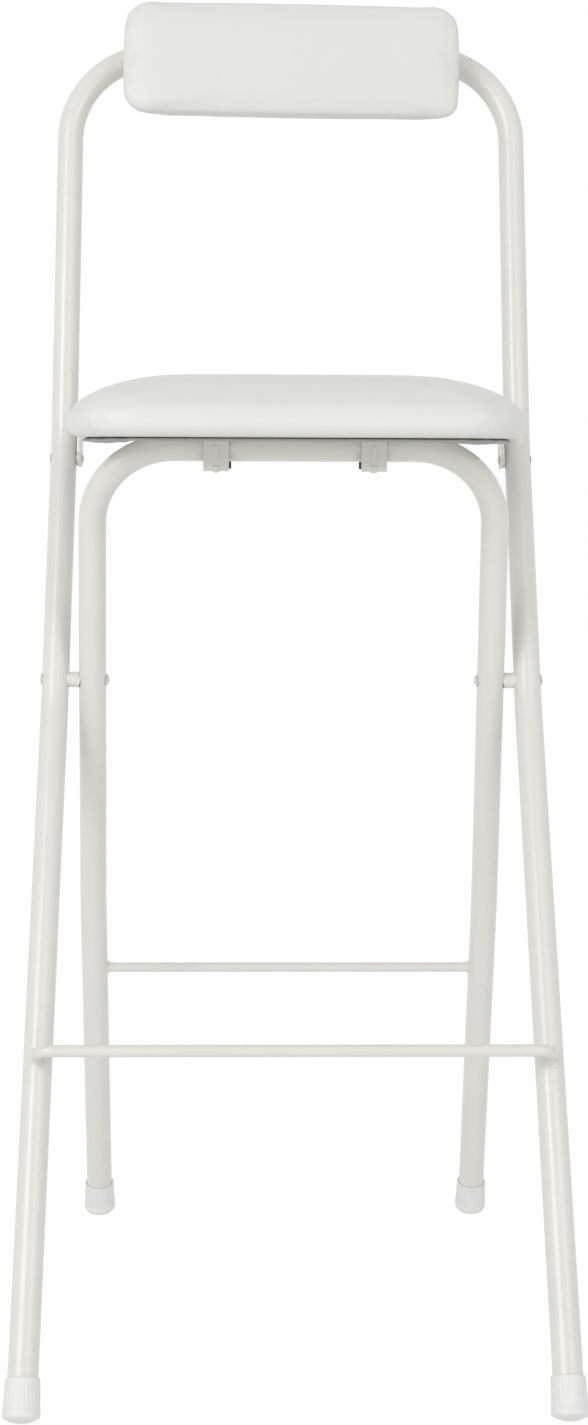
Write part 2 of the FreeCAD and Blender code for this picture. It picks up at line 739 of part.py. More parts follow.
# Seat brackets: bent plate, its flange screwed up under the board and its cheek
# hanging down on the seat rivet. Drawn for the right side and turned for the left
cheek_out = bracket_inner + " + sizes.bracket_thickness"
flange_end = cheek_out + " - sizes.bracket_reach"
cheek_foot = "-sizes.bracket_below_rivet"
trim_foot = "%s - %d" % (cheek_foot, CUT_MARGIN)
trim_edge = "(sizes.bracket_width / 2 + %d)" % CUT_MARGIN
for side, sign in SIDES:
    body = new_body(side + "_seat_bracket")
    face = 1 if sign > 0 else -1
    pad(body, "XZ_Plane", [
        ("%d * (%s)" % (face, flange_end), "sizes.board_bottom - sizes.bracket_thickness"),
        ("%d * (%s)" % (face, bracket_inner), "sizes.board_bottom - sizes.bracket_thickness"),
        ("%d * (%s)" % (face, bracket_inner), cheek_foot),
        ("%d * (%s)" % (face, cheek_out), cheek_foot),
        ("%d * (%s)" % (face, cheek_out), "sizes.board_bottom"),
        ("%d * (%s)" % (face, flange_end), "sizes.board_bottom"),
    ], "sizes.bracket_width", True)

    def draw_cheek_trim(sketch):
        for end in ("1", "-1"):
            draw_outline(sketch, [
                ("%s * sizes.bracket_foot_width / 2" % end, trim_foot),
                ("%s * %s" % (end, trim_edge), trim_foot),
                ("%s * %s" % (end, trim_edge), "sizes.bracket_shoulder"),
                ("%s * sizes.bracket_width / 2" % end, "sizes.bracket_shoulder"),
                ("%s * sizes.bracket_foot_width / 2" % end, cheek_foot),
            ])
        draw_circle(sketch, "0", "0", "sizes.seat_rivet_od / 2 + sizes.running_clearance")

    def draw_flange_holes(sketch):
        for x, y in bracket_screw_places:
            if number(x) * sign > 0:
                draw_circle(sketch, x, y, "sizes.screw_od / 2 + sizes.screw_clearance")

    pocket_through(body, "YZ_Plane", draw_cheek_trim)
    pocket_through(body, "XY_Plane", draw_flange_holes)
    body.Placement = seat_place
    keep(body, side + "_seat_bracket")

# Crossbar clips: a strap screwed under the board just ahead of the crossbar, which
# runs down in front of it and hooks in under it
strap_back = "(sizes.bar_forward + sizes.tube_od / 2 + sizes.clip_gap)"
strap_front = "(%s + sizes.clip_thickness)" % strap_back
strap_foot = "(sizes.bar_rise - sizes.tube_od / 2 - sizes.clip_drop)"
hook_inner = "(sizes.clip_hook_radius - sizes.clip_thickness)"
hook_centre = "(%s + sizes.clip_hook_radius)" % strap_foot
flange_top = "sizes.board_bottom"
flange_under = "(sizes.board_bottom - sizes.clip_thickness)"
for side, sign in SIDES:
    body = new_body(side + "_crossbar_clip")
    hook_start = "-(%s - %s)" % (strap_front, "sizes.clip_hook_radius")
    pad(body, "YZ_Plane", [
        ("-(%s + sizes.clip_flange)" % strap_front, flange_under),
        ("-%s" % strap_front, flange_under),
        ("-%s" % strap_front, hook_centre),
        (hook_start, strap_foot, "sizes.clip_hook_radius", 1),
        (hook_start + " + sizes.clip_hook_lip", strap_foot),
        (hook_start + " + sizes.clip_hook_lip", strap_foot + " + sizes.clip_thickness"),
        (hook_start, strap_foot + " + sizes.clip_thickness"),
        ("-%s" % strap_back, hook_centre, hook_inner, -1),
        ("-%s" % strap_back, flange_top),
        ("-(%s + sizes.clip_flange)" % strap_front, flange_top),
    ], "sizes.clip_width", True)
    bead = "%s + sizes.clip_bead_height" % strap_front
    pad(body, "YZ_Plane", [
        ("-%s + sizes.clip_bead_root" % strap_front, hook_centre),
        ("-(%s)" % bead, hook_centre),
        ("-(%s)" % bead, hook_centre + " + sizes.clip_bead_length"),
        ("-%s + sizes.clip_bead_root" % strap_front, hook_centre + " + sizes.clip_bead_length"),
    ], "sizes.clip_bead_width", True)

    def draw_clip_holes(sketch):
        for x, y in clip_screw_places[:2]:
            draw_circle(sketch, "0", y, "sizes.screw_od / 2 + sizes.screw_clearance")

    pocket_through(body, "XY_Plane", draw_clip_holes)
    across = Placement(Vector(sign * size("clip_spacing") / 2, 0, 0), Rotation())
    body.Placement = seat_place.multiply(across)
    keep(body, side + "_crossbar_clip")

# Screws: domed head under the flange, shank up into the board
SCREW_DOME = "((sizes.screw_head_od / 2) ^ 2 + sizes.screw_head_height ^ 2)"
SCREW_DOME += " / (2 * sizes.screw_head_height)"
SCREW = [
    ("0", "-sizes.screw_head_height"),
    ("sizes.screw_head_od / 2", "0", SCREW_DOME, 1),
    ("sizes.screw_od / 2", "0"),
    ("sizes.screw_od / 2", "sizes.screw_length - sizes.screw_point"),
    ("0", "sizes.screw_length"),
]


def screw_group(label, places, thickness):
    screws = []
    for index, (x, y) in enumerate(places):
        body = new_body("%s_%d" % (label, index + 1))
        revolve(body, SCREW)
        seat = Vector(number(x), number(y), board_bottom - thickness)
        body.Placement = seat_place.multiply(Placement(seat, Rotation()))
        screws.append(body)
    keep(group(label + "_group", screws), label)


screw_group("bracket_screws", bracket_screw_places, size("bracket_thickness"))
screw_group("clip_screws", clip_screw_places, size("clip_thickness"))

# Backrest pad. Its own frame has its origin on the top bar's axis, y rearward, z up
# the lean of the back. The pad's flat back lies against the front of the bar
pad_place = Placement(top_bar, pad_turn)
pad_back = size("tube_od") / 2 + size("face_gap")
pad_outline = (size("pad_width") / 2, size("pad_height") / 2, size("pad_corner_radius"), 0)
lay_forward = Rotation(Vector(1, 0, 0), 90)
form_place = pad_place.multiply(
    Placement(Vector(0, -pad_back, -size("pad_below_bar")), lay_forward))
pad_skin = skin + size("foam_gap")
pad_board_low = skin + size("pad_board_gap")
pad_board_high = pad_board_low + size("pad_board_thickness")
pad_block = plate(*pad_outline, size("pad_board_inset"), pad_board_low, pad_board_high)
pad_cover_shape = crowned_form(*pad_outline, PAD_LEVELS, 0).cut(
    crowned_form(*pad_outline, PAD_LEVELS, skin))
pad_foam_shape = crowned_form(*pad_outline, PAD_LEVELS, pad_skin).cut(
    plate(*pad_outline, size("pad_board_inset"), 0, pad_board_high))
pad_board_shape = pad_block
for side, sign in SIDES:
    at = Vector(sign * size("bolt_spacing") / 2, size("pad_below_bar"), 0)
    up = Vector(0, 0, 1)
    bolt_hole = Part.makeCylinder(size("bolt_od") / 2 + size("screw_clearance"),
                                  skin + 2 * CUT_MARGIN, at - up * CUT_MARGIN, up)
    barrel_hole = Part.makeCylinder(size("tee_nut_od") / 2 + size("bore_clearance"),
                                    pad_board_high + CUT_MARGIN, at, up)
    sink = Part.makeCylinder(size("tee_nut_flange_od") / 2 + size("screw_clearance"),
                             size("tee_nut_flange") + CUT_MARGIN,
                             at + up * (pad_board_high - size("tee_nut_flange")), up)
    pad_cover_shape = pad_cover_shape.cut(bolt_hole)
    pad_board_shape = pad_board_shape.cut(barrel_hole).cut(sink)
keep_shape("backrest_cover", pad_cover_shape, form_place)
keep_shape("backrest_foam", pad_foam_shape, form_place)
keep_shape("backrest_board", pad_board_shape, form_place)

# Bolts from behind through the top bar into tee nuts sunk in the pad's board
TEE_NUT = [
    ("sizes.bolt_od / 2 + sizes.bore_clearance", "0"),
    ("sizes.tee_nut_od / 2", "0"),
    ("sizes.tee_nut_od / 2", "sizes.pad_board_thickness - sizes.tee_nut_flange"),
    ("sizes.tee_nut_flange_od / 2", "sizes.pad_board_thickness - sizes.tee_nut_flange"),
    ("sizes.tee_nut_flange_od / 2", "sizes.pad_board_thickness"),
    ("sizes.bolt_od / 2 + sizes.bore_clearance", "sizes.pad_board_thickness"),
]
bolt_reach = pad_back + pad_board_high - size("bolt_end_gap")
bolt_length = "%r" % (size("tube_od") / 2 + bolt_reach)
bolts = []
tee_nuts = []
for side, sign in SIDES:
    bolt = new_body(side + "_backrest_bolt")
    head_radius = "((sizes.bolt_head_od / 2) ^ 2 + sizes.bolt_head_height ^ 2)"
    head_radius += " / (2 * sizes.bolt_head_height)"
    revolve(bolt, [
        ("0", "-sizes.bolt_head_height"),
        ("sizes.bolt_head_od / 2", "0", head_radius, 1),
        ("sizes.bolt_od / 2", "0"),
        ("sizes.bolt_od / 2", bolt_length),
        ("0", bolt_length),
    ])
    x = sign * size("bolt_spacing") / 2
    bolt.Placement = pad_place.multiply(Placement(Vector(x, size("tube_od") / 2, 0), lay_forward))
    bolts.append(bolt)
    nut = new_body(side + "_tee_nut")
    revolve(nut, TEE_NUT)
    nut.Placement = form_place.multiply(
        Placement(Vector(x, size("pad_below_bar"), pad_board_low), Rotation()))
    tee_nuts.append(nut)
keep(group("backrest_bolt_group", bolts), "backrest_bolts")
keep(group("backrest_tee_nut_group", tee_nuts), "backrest_tee_nuts")

# Check every object, then write each sub-part
doc.recompute()
for item in doc.Objects:
    if "Invalid" in item.State or "Error" in item.State:
        raise RuntimeError("%s (%s) failed: %s" % (item.Name, item.Label, item.State))
os.makedirs("parts", exist_ok=True)
for item in nodes:
    shape = item.Shape
    if shape.isNull() or not shape.isValid():
        raise RuntimeError("%s has no valid shape" % item.Label)
    box = shape.BoundBox
    print("%-24s solids %d volume %10.1f  x %7.1f %7.1f  y %7.1f %7.1f  z %7.1f %7.1f" % (
        item.Label, len(shape.Solids), shape.Volume, box.XMin, box.XMax,
        box.YMin, box.YMax, box.ZMin, box.ZMax))
for item in nodes:
    item.Shape.exportStep("parts/%s.step" % item.Label)
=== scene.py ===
import bmesh
import bpy
import json
import math
from mathutils import Matrix, Vector, noise


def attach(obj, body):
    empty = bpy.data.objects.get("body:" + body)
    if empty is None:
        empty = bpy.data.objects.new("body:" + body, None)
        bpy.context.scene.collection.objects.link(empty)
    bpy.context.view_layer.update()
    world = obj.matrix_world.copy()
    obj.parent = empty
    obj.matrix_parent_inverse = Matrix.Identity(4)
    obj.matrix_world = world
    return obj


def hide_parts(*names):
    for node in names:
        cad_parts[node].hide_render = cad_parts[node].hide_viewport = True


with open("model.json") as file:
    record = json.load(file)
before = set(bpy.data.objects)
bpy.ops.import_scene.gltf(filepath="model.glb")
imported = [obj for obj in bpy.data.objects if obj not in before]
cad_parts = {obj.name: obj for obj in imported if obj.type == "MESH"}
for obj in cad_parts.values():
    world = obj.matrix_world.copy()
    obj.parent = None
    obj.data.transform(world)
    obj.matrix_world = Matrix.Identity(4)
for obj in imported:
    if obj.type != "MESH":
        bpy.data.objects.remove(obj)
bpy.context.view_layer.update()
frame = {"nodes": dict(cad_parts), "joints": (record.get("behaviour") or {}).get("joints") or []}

scene = bpy.context.scene
nodes = frame["nodes"]
joints = {joint["name"]: joint for joint in frame["joints"]}
MM = 0.001

# Camera
# The stool is seen from the front at seat height, from about 1.8 m away, a little to
# its own right. The picture is cropped low, so the horizon lies high in it.
PICTURE_HEIGHT = 1425
FOCAL_PIXELS = 2244
HORIZON_PIXEL = 429.6
SENSOR_MM = 36
YAW = math.radians(1.243)
ROLL = math.radians(0.268)
CAMERA_PLACE = (-38.9 * MM, -1784.5 * MM, 695.8 * MM)
camera_data = bpy.data.cameras.new("camera")
camera = bpy.data.objects.new("camera", camera_data)
scene.collection.objects.link(camera)
scene.camera = camera
camera_data.sensor_width = SENSOR_MM
camera_data.lens = FOCAL_PIXELS / PICTURE_HEIGHT * SENSOR_MM
camera_data.shift_y = (HORIZON_PIXEL - PICTURE_HEIGHT / 2) / PICTURE_HEIGHT
camera_data.clip_end = 100
camera.matrix_world = (
    Matrix.Translation(CAMERA_PLACE)
    @ Matrix.Rotation(-YAW, 4, "Z")
    @ Matrix.Rotation(math.radians(90), 4, "X")
    @ Matrix.Rotation(ROLL, 4, "Z")
)

# Frame tube
# Two bent steel tubes, bead-blasted and powder coated in a warm white, then baked.
# The coat is thick and a little glossy, with a faint orange-peel ripple.
ORANGE_PEEL = 2.6 * MM
COAT_DRIFT = 70 * MM
COAT_ROUGHNESS = 0.30


def linear(sheet_colour):
    """An sRGB hex colour as linear red, green, blue and alpha."""
    parts = [int(sheet_colour[i:i + 2], 16) / 255 for i in (0, 2, 4)]
    return [p / 12.92 if p <= 0.04045 else ((p + 0.055) / 1.055) ** 2.4 for p in parts] + [1.0]


def add_node(tree, kind, settings=None, links=None):
    """Add a shader node, set its sockets or properties, and link others into it."""
    made = tree.nodes.new("ShaderNode" + kind)
    for name, value in (settings or {}).items():
        if isinstance(name, int) or name in made.inputs:
            made.inputs[name].default_value = value
        else:
            setattr(made, name, value)
    for name, source in (links or {}).items():
        tree.links.new(source, made.inputs[name])
    return made


def new_material(name):
    """An empty material with its shader, output and a coordinate in metres."""
    made = bpy.data.materials.new(name)
    made.use_nodes = True
    tree = made.node_tree
    tree.nodes.clear()
    shader = add_node(tree, "BsdfPrincipled")
    add_node(tree, "OutputMaterial", links={"Surface": shader.outputs[0]})
    place = add_node(tree, "TexCoord").outputs["Object"]
    return made, tree, shader, place


def colour_between(tree, fac, first, second):
    """A colour that wanders between two close shades as a pattern says."""
    ramp = add_node(tree, "ValToRGB", links={"Fac": fac})
    ramp.color_ramp.elements[0].color = linear(first)
    ramp.color_ramp.elements[1].color = linear(second)
    return ramp.outputs["Color"]


def powder_coat(name, first, second, roughness):
    """Baked powder coat: soft gloss, ripple of orange peel, the tone drifting a little."""
    made, tree, shader, place = new_material(name)
    drift = add_node(tree, "TexNoise", {"Scale": 1 / COAT_DRIFT, "Detail": 3}, {"Vector": place})
    peel = add_node(tree, "TexNoise", {"Scale": 1 / ORANGE_PEEL, "Detail": 2}, {"Vector": place})
    tree.links.new(colour_between(tree, drift.outputs["Fac"], first, second),
                   shader.inputs["Base Color"])
    gloss = add_node(tree, "MapRange",
                     {"To Min": roughness - 0.04, "To Max": roughness + 0.05},
                     {"Value": peel.outputs["Fac"]})
    tree.links.new(gloss.outputs["Result"], shader.inputs["Roughness"])
    ripple = add_node(tree, "Bump", {"Strength": 0.35, "Distance": 0.05 * MM},
                      {"Height": peel.outputs["Fac"]})
    tree.links.new(ripple.outputs["Normal"], shader.inputs["Normal"])
    shader.inputs["IOR"].default_value = 1.5
    shader.inputs["Coat Weight"].default_value = 0.3
    shader.inputs["Coat Roughness"].default_value = 0.12
    return made


frame_coat = powder_coat("powder_coat_warm_white", "DFDED8", "E6E5E0", COAT_ROUGHNESS)


def finish_nodes(material, *names):
    """Give CAD nodes their finish."""
    for name in names:
        node = nodes[name]
        node.data.materials.clear()
        node.data.materials.append(material)


finish_nodes(frame_coat, "back_frame_tube", "leg_frame_tube", "footrest_rod", "rear_cross_rod")


def add_piece(name, mesh, material, body):
    """Put a mesh into the scene as a piece that rides on a body."""
    piece = bpy.data.objects.new(name, mesh)
    scene.collection.objects.link(piece)
    mesh.materials.clear()
    mesh.materials.append(material)
    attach(piece, body)
    return piece


def mesh_from_rings(name, rings, joined=False):
    """A closed skin through rings of equally many points. Its ends are capped, or the
    last ring is joined to the first."""
    made = bmesh.new()
    rows = [[made.verts.new(point) for point in ring] for ring in rings]
    count = len(rings[0])
    pairs = list(zip(rows, rows[1:]))
    if joined:
        pairs.append((rows[-1], rows[0]))
    else:
        made.faces.new(rows[0][::-1])
        made.faces.new(rows[-1])
    for row, after in pairs:
        for i in range(count):
            j = (i + 1) % count
            made.faces.new((row[i], row[j], after[j], after[i]))
    bmesh.ops.recalc_face_normals(made, faces=made.faces)
    mesh = bpy.data.meshes.new(name)
    made.to_mesh(mesh)
    made.free()
    mesh.shade_smooth()
    return mesh


# Weld beads
# Where the two round bars meet the legs, a small bead of weld runs round the bar,
# rippled by the torch and covered by the same coat.
PIVOT = Vector(joints["leg_fold"]["pos_m"])
TUBE_RADIUS = 11 * MM
BACK_HALF_WIDTH = 192 * MM
LEG_HALF_WIDTH = 165 * MM
FRONT_LEAN = math.radians(28.25)
MIDDLE_LEAN = math.radians(21.8)
LEG_LEAN = math.radians(-19.7)
LOWER_BEND = 19.4 * MM
BEAD_RADIUS = 1.3 * MM
BEAD_STEPS = 48
BEAD_RIPPLES = 14
BEAD_SIDES = 10


def up_along(lean):
    """The direction up a leg that leans back by this angle."""
    return Vector((0, math.sin(lean), math.cos(lean)))


def on_leg(start, up, height):
    """The point of a leg's line at a height."""
    return start + up * ((height - start.z) / up.z)


def weld_bead(name, hub, along, up, rod_radius, body):
    """A bead round a bar where it meets a tube. hub is on the tube's axis, along
    points from it to the bar, and up runs along the tube."""
    across = along.cross(up).normalized()
    rings = []
    for step in range(BEAD_STEPS):
        angle = 2 * math.pi * step / BEAD_STEPS
        radial = across * math.cos(angle) + up * math.sin(angle)
        spread = (rod_radius * math.cos(angle)) ** 2
        reach = math.sqrt(TUBE_RADIUS ** 2 - spread)
        centre = hub + along * reach + radial * rod_radius
        swell = 1 + 0.12 * math.sin(BEAD_RIPPLES * angle) + 0.08 * math.sin(3 * angle + 1)
        ring = []
        for turn in range(BEAD_SIDES):
            around = 2 * math.pi * turn / BEAD_SIDES
            ring.append(centre + (radial * math.cos(around) + along * math.sin(around))
                        * BEAD_RADIUS * swell)
        rings.append(ring)
    return add_piece(name, mesh_from_rings(name, rings, True), frame_coat, body)


front_up = up_along(FRONT_LEAN)
leg_up = up_along(LEG_LEAN)
bend = PIVOT - up_along(MIDDLE_LEAN) * LOWER_BEND
REAR_ROD_HEIGHT = 236.4 * MM
REAR_ROD_RADIUS = 4 * MM
FOOTREST_RADIUS = 4.5 * MM
FOOTREST_HEIGHT = 237.1 * MM
FOOTREST_REACH = TUBE_RADIUS + 20 * MM
forward = Vector((0, -front_up.z, front_up.y))
footrest_root = on_leg(bend, front_up, FOOTREST_HEIGHT - forward.z * FOOTREST_REACH)
rear_root = on_leg(PIVOT, leg_up, REAR_ROD_HEIGHT)
for side, sign in (("left", -1), ("right", 1)):
    weld_bead(side + "_rear_weld", Vector((sign * LEG_HALF_WIDTH, rear_root.y, rear_root.z)),
              Vector((-sign, 0, 0)), leg_up, REAR_ROD_RADIUS, "leg_frame")
    weld_bead(side + "_footrest_weld",
              Vector((sign * BACK_HALF_WIDTH, footrest_root.y, footrest_root.z)),
              forward, front_up, FOOTREST_RADIUS, "back_frame")

# Foot caps
# Injection-moulded white polyethylene, pushed over the tube ends. Fine grip ribs run
# down to a plain band, and the domed base is worn flat where it stands.
CAP_RIBS = 24
CAP_DOME_RINGS = 8
CAP_POINTS = CAP_RIBS * 8
RIB_DEPTH = 0.3 * MM
CAP_LOW = 13.15 * MM
CAP_TOP = 12.4 * MM
CAP_BAND = 13.45 * MM
CAP_BORE = 11.1 * MM
DOME = 3.5 * MM
SKIRT = 26 * MM
BAND = 5 * MM
CAP_FLOOR = 5 * MM
DOME_RADIUS = (CAP_LOW ** 2 + DOME ** 2) / (2 * DOME)
FOOT_CUT = 0.35 * MM


def moulded_plastic(name, first, second, roughness):
    """Moulded polyethylene: waxy and even, with the faint grain of the mould."""
    made, tree, shader, place = new_material(name)
    grain = add_node(tree, "TexNoise", {"Scale": 1 / (0.9 * MM), "Detail": 4}, {"Vector": place})
    cloud = add_node(tree, "TexNoise", {"Scale": 1 / (14 * MM), "Detail": 2}, {"Vector": place})
    tree.links.new(colour_between(tree, cloud.outputs["Fac"], first, second),
                   shader.inputs["Base Color"])
    dull = add_node(tree, "MapRange", {"To Min": roughness - 0.05, "To Max": roughness + 0.07},
                    {"Value": grain.outputs["Fac"]})
    tree.links.new(dull.outputs["Result"], shader.inputs["Roughness"])
    bump = add_node(tree, "Bump", {"Strength": 0.3, "Distance": 0.04 * MM},
                    {"Height": grain.outputs["Fac"]})
    tree.links.new(bump.outputs["Normal"], shader.inputs["Normal"])
    shader.inputs["IOR"].default_value = 1.51
    return made


cap_plastic = moulded_plastic("moulded_polyethylene_white", "E6E6E4", "EDEDEC", 0.42)


def cap_rings():
    """The cap's skin as rings, from the middle of the dome up and back down inside."""
    rows = []
    for step in range(1, CAP_DOME_RINGS + 1):
        angle = math.asin(CAP_LOW / DOME_RADIUS) * step / CAP_DOME_RINGS
        rows.append((DOME_RADIUS * math.sin(angle), DOME_RADIUS * (1 - math.cos(angle)), 0))
    rows += [(CAP_BAND - 0.2 * MM, DOME + 0.3 * MM, 0), (CAP_BAND, DOME + 0.9 * MM, 0)]
    rows += [(CAP_BAND, DOME + BAND - 0.2 * MM, 0), (CAP_BAND - 0.15 * MM, DOME + BAND, 0)]
    low, high = DOME + BAND + 0.3 * MM, DOME + SKIRT - 1.6 * MM
    rows.append((CAP_LOW, low, 0))
    for step in range(9):
        share = step / 8
        fade = min(1, 6 * share + 0.25, 6 * (1 - share) + 0.25)
        height = low + 0.3 * MM + (high - low - 0.3 * MM) * share
        rows.append((CAP_LOW + (CAP_TOP - CAP_LOW) * share, height, RIB_DEPTH * fade))
    rim = DOME + SKIRT
    rows += [(CAP_TOP, rim - 1.1 * MM, 0), (CAP_TOP - 0.3 * MM, rim - 0.3 * MM, 0)]
    rows += [(CAP_TOP - 0.7 * MM, rim, 0), (CAP_BORE + 0.2 * MM, rim, 0)]
    rows += [(CAP_BORE, rim - 0.4 * MM, 0), (CAP_BORE, CAP_FLOOR, 0)]
    rings = []
    for radius, height, rib in rows:
        ring = []
        for i in range(CAP_POINTS):
            angle = 2 * math.pi * i / CAP_POINTS
            groove = max(0, math.cos(CAP_RIBS * angle)) ** 1.5
            out = radius - rib * groove
            ring.append(Vector((out * math.cos(angle), out * math.sin(angle), height)))
        rings.append(ring)
    return rings


CAP_RINGS = cap_rings()
dome_height = DOME_RADIUS - FOOT_CUT
for end, up, start, half, body in (
        ("front", front_up, bend, BACK_HALF_WIDTH, "back_frame"),
        ("rear", leg_up, PIVOT, LEG_HALF_WIDTH, "leg_frame")):
    dome_centre = on_leg(start, up, dome_height)
    turn = Vector((0, 0, 1)).rotation_difference(up).to_matrix()
    for side, sign in (("left", -1), ("right", 1)):
        base = Vector((sign * half, dome_centre.y, dome_centre.z)) - up * DOME_RADIUS
        rings = [[base + turn @ point for point in ring] for ring in CAP_RINGS]
        for ring in rings:
            for point in ring:
                point.z = max(point.z, 0)
        name = "%s_%s_foot_cap" % (end, side)
        cap = add_piece(name + "_ribbed", mesh_from_rings(name, rings), cap_plastic, body)
        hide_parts(name)

# Rivets, spacers and washers
# Steel rivets with domed heads, painted over with the frame, and moulded nylon
# spacers and washers that keep the coated parts from rubbing.
rivet_coat = powder_coat("painted_rivet_steel", "DAD9D3", "E0DFDA", 0.26)
spacer_nylon = moulded_plastic("moulded_nylon_white", "DEDDD8", "E6E5E1", 0.40)


def eased(name, material, body, width):
    """A copy of a pressed or turned CAD piece with its sharp edges eased."""
    mesh = nodes[name].data.copy()
    piece = add_piece(name + "_eased", mesh, material, body)
    weld = piece.modifiers.new("weld", "WELD")
    weld.merge_threshold = 0.005 * MM
    bevel = piece.modifiers.new("eased_edges", "BEVEL")
    bevel.width = width
    bevel.segments = 2
    bevel.limit_method = "ANGLE"
    bevel.angle_limit = math.radians(40)
    bevel.harden_normals = True
    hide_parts(name)
    return piece


SPACER_RADIUS = 6.25 * MM
SPACER_BORE = 4.05 * MM
SPACER_GAP = 0.15 * MM
SPACER_STEPS = 64
LEG_PIVOT_HALF = 161.88 * MM
LEG_SWING = math.radians(42)
SWING_STEPS = 14
leg_turns = [Matrix.Rotation(-LEG_SWING * step / SWING_STEPS, 3, "X") @ leg_up
             for step in range(SWING_STEPS + 1)]


def spacer_end(radius, sign, half, way, directions):
    """One circle at the end of a spacer, kept clear of a tube that may point in any of
    the directions."""
    ring = []
    for step in range(SPACER_STEPS):
        angle = 2 * math.pi * step / SPACER_STEPS
        radial = Vector((0, math.cos(angle), math.sin(angle)))
        reach = max(math.sqrt(TUBE_RADIUS ** 2 - (radius * radial.cross(up).length) ** 2)
                    for up in directions)
        x = sign * (half + way * (reach + SPACER_GAP))
        ring.append(PIVOT + radial * radius + Vector((x, 0, 0)))
    return ring


def saddle_spacer(name, sign):
    """A spacer hollowed to sit on the tubes at its sides. Its end at the leg frame is
    cut back for every angle that this frame turns through."""
    leg_end = (sign, LEG_PIVOT_HALF, 1, leg_turns)
    back_end = (sign, BACK_HALF_WIDTH, -1, [up_along(MIDDLE_LEAN)])
    rings = [spacer_end(SPACER_BORE, *back_end), spacer_end(SPACER_BORE, *leg_end),
             spacer_end(SPACER_RADIUS, *leg_end), spacer_end(SPACER_RADIUS, *back_end)]
    return add_piece(name + "_saddled", mesh_from_rings(name, rings, True), spacer_nylon,
                     "back_frame")


for side, sign in (("left", -1), ("right", 1)):
    finish_nodes(rivet_coat, side + "_pivot_rivet", side + "_seat_rivet")
    finish_nodes(spacer_nylon, side + "_seat_washer")
    spacer = saddle_spacer(side + "_pivot_spacer", sign)
    spacer.data.set_sharp_from_angle(angle=math.radians(40))
    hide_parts(side + "_pivot_spacer")

# Seat board
# Plywood pressed flat and faced with a pale grey paper film, so its underside shows
# as a flat grey sheet inside the turned-in edge of the cover.


def faced_board(name, first, second):
    """Paper-faced plywood: flat grey with a faint long grain under the film."""
    made, tree, shader, place = new_material(name)
    stretch = add_node(tree, "Mapping", {"Scale": (1, 9, 9)}, {"Vector": place})
    grain = add_node(tree, "TexNoise", {"Scale": 1 / (22 * MM), "Detail": 6},
                     {"Vector": stretch.outputs["Vector"]})
    tree.links.new(colour_between(tree, grain.outputs["Fac"], first, second),
                   shader.inputs["Base Color"])
    bump = add_node(tree, "Bump", {"Strength": 0.4, "Distance": 0.08 * MM},
                    {"Height": grain.outputs["Fac"]})
    tree.links.new(bump.outputs["Normal"], shader.inputs["Normal"])
    shader.inputs["Roughness"].default_value = 0.62
    return made


board_film = faced_board("paper_faced_plywood_grey", "A9A8A2", "B5B4AE")
finish_nodes(board_film, "seat_board", "backrest_board")

# Seat cushion
# Moulded foam on the board under white upholstery vinyl, pulled round the edge and
# stapled underneath. The foam crowns towards the middle and the edge rolls under.
VINYL_GRAIN = 1.1 * MM
VINYL_DRIFT = 90 * MM
SEAT_HALF_X, SEAT_HALF_Y = 175 * MM, 145 * MM
SEAT_CORNER = 58 * MM
SEAT_WIDEST = 15.5 * MM
SEAT_CROWN = (
    (0.9, 19), (3.6, 23.5), (8, 27.5), (13, 30.6), (19, 33), (27, 35.6), (36, 38.4),
    (46, 41.3), (57, 43.8), (69, 45.4), (80, 46.2), (95, 46.6), (118, 46.8),
)
SEAT_TUCK = 9 * MM
SEAT_TUCK_POWER = 0.7
SEAT_LIP_HEIGHT = 16.5 * MM
SEAT_VOXEL = 5 * MM
PUFF_FRAMES = 20
SEAT_PUFF = 2.5 * MM
SEAT_SETTLE = 6
FASTENED_BELOW = 4 * MM
SEAT_LIP = 24 * MM
NOTCH_INNER = 127.6 * MM
NOTCH_HALF = 15.5 * MM
SEAT_LIP_DROP = 4.3 * MM
CUT_OVERRUN = 2 * MM
SEAT_TILT = math.radians(-0.7)
SEAT_REAR = 22 * MM


def grained_vinyl(name, first, second):
    """Calendered upholstery vinyl: a fine embossed leather grain under a satin skin."""
    made, tree, shader, place = new_material(name)
    cells = add_node(tree, "TexVoronoi", {"Scale": 1 / VINYL_GRAIN, "feature": "SMOOTH_F1",
                                          "Smoothness": 0.6}, {"Vector": place})
    pores = add_node(tree, "TexNoise", {"Scale": 2.2 / VINYL_GRAIN, "Detail": 3}, {"Vector": place})
    drift = add_node(tree, "TexNoise", {"Scale": 1 / VINYL_DRIFT, "Detail": 3}, {"Vector": place})
    tree.links.new(colour_between(tree, drift.outputs["Fac"], first, second),
                   shader.inputs["Base Color"])
    height = add_node(tree, "Math", {"operation": "MULTIPLY_ADD", 1: 0.6},
                      {0: pores.outputs["Fac"], 2: cells.outputs["Distance"]})
    bump = add_node(tree, "Bump", {"Strength": 0.25, "Distance": 0.12 * MM},
                    {"Height": height.outputs[0]})
    tree.links.new(bump.outputs["Normal"], shader.inputs["Normal"])
    satin = add_node(tree, "MapRange", {"To Min": 0.40, "To Max": 0.52},
                     {"Value": cells.outputs["Distance"]})
    tree.links.new(satin.outputs["Result"], shader.inputs["Roughness"])
    shader.inputs["IOR"].default_value = 1.5
    shader.inputs["Sheen Weight"].default_value = 0.05
    return made


vinyl = grained_vinyl("upholstery_vinyl_white", "DFE0DB", "E5E6E1")


